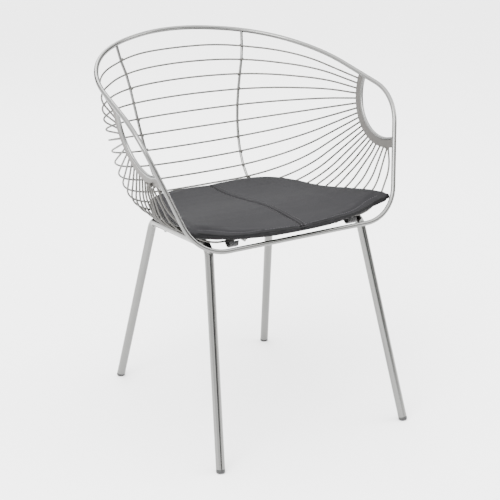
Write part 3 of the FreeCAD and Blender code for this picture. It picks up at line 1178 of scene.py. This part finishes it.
        tris = np.vstack([tris, start, stop])
        faces = (tris[None] + (np.arange(len(body)) * 4 * spokes)[:, None, None]).reshape(-1, 3)
        piece = new_piece("pad_stitches", body.reshape(-1, 3), faces, self.finishes.get(SEWING_THREAD))
        face_outwards(piece)
        return piece

    def build(self) -> list[bpy.types.Object]:
        """Builds the cushion, its seam strip, edge welt and stitches.

        Returns:
            The pieces, the cushion first.
        """
        cushion = self.outer_skin()
        self.remesh(cushion)
        self.inflate(cushion)
        smooth = cushion.modifiers.new("fine", "SUBSURF")
        smooth.levels = smooth.render_levels = 1
        self.baked(cushion)
        self.draw_out_wings(cushion)
        places, normals = self.arrays(cushion)
        middle = self.top_line(places, normals, 0.0)
        edge, edge_face = self.shoulder(places, normals, self.edge_slope)
        row, row_face = self.shoulder(places, normals, self.row_slope)
        self.groove(cushion)
        cushion.data.materials.clear()
        cushion.data.materials.append(self.finishes.get(PAD_TOP))
        cushion.data.materials.append(self.finishes.get(PAD_SIDE_PAINTED_SHADE))
        polygons = cushion.data.polygons
        # Faces that tilt past the slope (normal height under it) take the darker copy of the pad fabric:
        # painted shade on the pad's sides and underside.
        side = read_rows(polygons, "normal")[:, 2] < self.painted_shade_slope
        polygons.foreach_set("material_index", side.astype(np.int32))
        polygons.foreach_set("use_smooth", np.ones(len(polygons), dtype=bool))
        attach(cushion, "pad_cover", "seat_pad_cover", "seat_pad_foam")
        up = np.tile([0.0, 0.0, 1.0], (len(middle), 1))
        rows = [(self.top_line(places, normals, x), up) for x in (-self.stitch_out, self.stitch_out)]
        rows.append((np.vstack([row, row[:1]]), np.vstack([row_face, row_face[:1]])))
        # Near-black cords along both flanks of the middle seam strip stand in for the crease beside it:
        # painted shade.
        crease_shade_lines = [self.top_line(places, normals, x) for x in (-self.crease_shade_out, self.crease_shade_out)]
        others = [self.ridge("pad_seam_strip", middle, self.strip_size, PAD_TOP)]
        others += [
            self.ridge(f"pad_crease_shade_line_{number}", line, self.crease_shade_size, PAD_CREASE_PAINTED_SHADE)
            for number, line in enumerate(crease_shade_lines, 1)
        ]
        others += [self.welt(edge, edge_face), self.stitches(rows)]
        for piece in others:
            attach(piece, "pad_cover")
        return [cushion, *others]


# The straps


@dataclass
class PadStrap:
    """One band of webbing that hangs from the pad round a wire."""

    finishes: Finishes
    node: str
    thickness: float = 0.0022
    wave: float = 0.0004
    wave_angle: float = 19.0
    drop_rings: int = 16
    bend_rings: int = 33
    spokes: int = 32

    def build(self) -> bpy.types.Object:
        """Sweeps a rounded flat section down, round and up again.

        The half width wanders by a small sine of the length, as webbing does.

        Returns:
            The piece.
        """
        low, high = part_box(self.node)
        outer = (high.y - low.y) / 2.0
        radius = outer - self.thickness / 2.0
        y_mid = (low.y + high.y) / 2.0
        bend = low.z + outer
        drop = np.linspace(high.z, bend, self.drop_rings, endpoint=False)
        turn = np.linspace(0.0, np.pi, self.bend_rings)
        run = np.full(len(drop), radius)
        y = y_mid + np.concatenate([-run, -radius * np.cos(turn), run])
        z = np.concatenate([drop, bend - radius * np.sin(turn), drop[::-1]])
        line = np.stack([np.zeros_like(y), y, z], axis=-1)
        tangent = unit(np.gradient(line, axis=0))
        across = np.tile([1.0, 0.0, 0.0], (len(line), 1))
        out = np.cross(tangent, across)
        angle = np.linspace(0.0, 2.0 * np.pi, self.spokes, endpoint=False)
        cosine, sine = np.cos(angle), np.sin(angle)
        half = (high.x - low.x) / 2.0 - self.wave
        side = np.sign(cosine) * np.abs(cosine) ** 0.25 * half
        rise = np.sign(sine) * np.abs(sine) ** 0.5 * self.thickness / 2.0
        wander = 1.0 + self.wave / half * np.sin(np.linspace(0.0, self.wave_angle, len(line)))
        centre = line + np.array([(low.x + high.x) / 2.0, 0.0, 0.0])
        grid = (
            centre[:, None, :]
            + across[:, None, :] * (side[None, :] * wander[:, None])[:, :, None]
            + out[:, None, :] * rise[None, :, None]
        )
        name = self.node.replace("pad_strap", "webbing")
        piece = closed_tube(name, grid, self.finishes.get(STRAP_WEBBING))
        return attach(piece, "strap_webbing", self.node)


# The studio


@dataclass
class Studio:
    """Plain pale floor, soft light and the camera."""

    camera_place: tuple[float, float, float] = (-1.4649, -2.4691, 1.3776)
    camera_pitch: float = 90.0 - 19.8289
    camera_turn: float = -31.0958
    lens: float = 99.66
    sensor: float = 36.0
    seat_height: float = 0.45
    floor_half: float = 30.0
    floor_gap: float = 0.0002
    sky: float = 6.0
    height_stops: tuple = ((0.38, 0.0), (0.85, 1.0))
    side_stops: tuple = ((0.0, 0.5), (0.3, 0.6), (0.40, 0.01), (0.56, 0.01), (0.68, 0.22), (1.0, 0.08))

    def floor(self) -> bpy.types.Object:
        """Lays the floor, just under the glides.

        Returns:
            The floor.
        """
        half = self.floor_half
        points = np.array([[-half, -half, 0.0], [half, -half, 0.0], [half, half, 0.0], [-half, half, 0.0]])
        material, _, shader = start_material("studio_floor")
        shader.inputs["Base Color"].default_value = (0.93, 0.93, 0.93, 1.0)
        shader.inputs["Roughness"].default_value = 0.9
        shader.inputs["Specular IOR Level"].default_value = 0.1
        points[:, 2] -= self.floor_gap
        piece = new_piece("studio_floor", points, np.array([[0, 1, 2, 3]]), material)
        return piece

    def world(self) -> None:
        """Surroundings that are white overhead and uneven grey near the horizon."""
        world = bpy.data.worlds.new("studio_world")
        world.use_nodes = True
        tree = world.node_tree
        back = tree.nodes["Background"]
        place = tree.nodes.new("ShaderNodeTexCoord")
        split = tree.nodes.new("ShaderNodeSeparateXYZ")
        tree.links.new(place.outputs["Generated"], split.inputs[0])
        height = self.ramp(tree, split.outputs["Z"], self.height_stops)
        turn = tree.nodes.new("ShaderNodeMapRange")
        turn.inputs["From Min"].default_value = -1.0
        tree.links.new(split.outputs["X"], turn.inputs["Value"])
        side = self.ramp(tree, turn.outputs["Result"], self.side_stops)
        mix = tree.nodes.new("ShaderNodeMix")
        mix.data_type = "RGBA"
        tree.links.new(height.outputs["Color"], mix.inputs["Factor"])
        tree.links.new(side.outputs["Color"], mix.inputs[6])
        mix.inputs[7].default_value = (1.0, 1.0, 1.0, 1.0)
        tree.links.new(mix.outputs[2], back.inputs["Color"])
        back.inputs["Strength"].default_value = self.sky
        bpy.context.scene.world = world

    def ramp(self, tree: bpy.types.NodeTree, value: bpy.types.NodeSocket, stops: tuple) -> bpy.types.Node:
        """Adds a grey ramp.

        Args:
            tree: The world's node tree.
            value: What the ramp reads.
            stops: Pairs of place and grey.

        Returns:
            The ramp node.
        """
        node = tree.nodes.new("ShaderNodeValToRGB")
        elements = node.color_ramp.elements
        while len(elements) < len(stops):
            elements.new(0.5)
        for element, (place, grey) in zip(elements, stops):
            element.position = place
            element.color = (grey, grey, grey, 1.0)
        tree.links.new(value, node.inputs["Fac"])
        return node

    def lamp(self, name: str, place: tuple[float, float, float], size: float, power: float) -> None:
        """Hangs one square soft lamp that faces the seat.

        Args:
            name: The lamp's name.
            place: Where it hangs.
            size: Length of its side.
            power: Its power in watts.
        """
        light = bpy.data.lights.new(name, "AREA")
        light.size = size
        light.energy = power
        item = bpy.data.objects.new(name, light)
        bpy.context.scene.collection.objects.link(item)
        item.location = place
        x, y, z = -place[0], -place[1], self.seat_height - place[2]
        tilt = math.acos(-z / math.sqrt(x * x + y * y + z * z))
        item.rotation_euler = (tilt, 0.0, math.atan2(y, x) - math.pi / 2.0)

    def camera(self) -> None:
        """Sets the camera at the photograph's angle."""
        lens = bpy.data.cameras.new("camera")
        lens.lens = self.lens
        lens.sensor_width = self.sensor
        item = bpy.data.objects.new("camera", lens)
        bpy.context.scene.collection.objects.link(item)
        item.location = self.camera_place
        item.rotation_euler = (math.radians(self.camera_pitch), 0.0, math.radians(self.camera_turn))
        bpy.context.scene.camera = item

    def build(self) -> None:
        """Builds the floor, the surroundings, the lamps and the camera."""
        self.floor()
        self.world()
        self.lamp("key_lamp", (-1.8, -1.2, 2.6), 1.6, 110.0)
        self.lamp("fill_lamp", (2.2, -0.8, 1.9), 1.2, 36.0)
        self.lamp("back_lamp", (0.4, 2.4, 2.2), 1.4, 44.0)
        self.camera()


# The chair


def main() -> None:
    """Builds the chair's looks in order and reports each piece."""
    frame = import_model()
    finishes = Finishes()
    nodes = frame["nodes"]
    LOG.info("dressed %d nodes", Steelwork(finishes).dress(nodes))
    pieces = [WeldBeads(finishes).build(sorted(nodes))]
    pieces += SeatPad(finishes).build()
    pieces += [PadStrap(finishes, name).build() for name in sorted(nodes) if name.endswith("pad_strap")]
    for piece in pieces:
        LOG.info("%s: %d points, %d faces", piece.name, len(piece.data.vertices), len(piece.data.polygons))
    Studio().build()


if __name__ == "__main__":
    logging.basicConfig(level=logging.INFO, format="%(message)s")
    main()
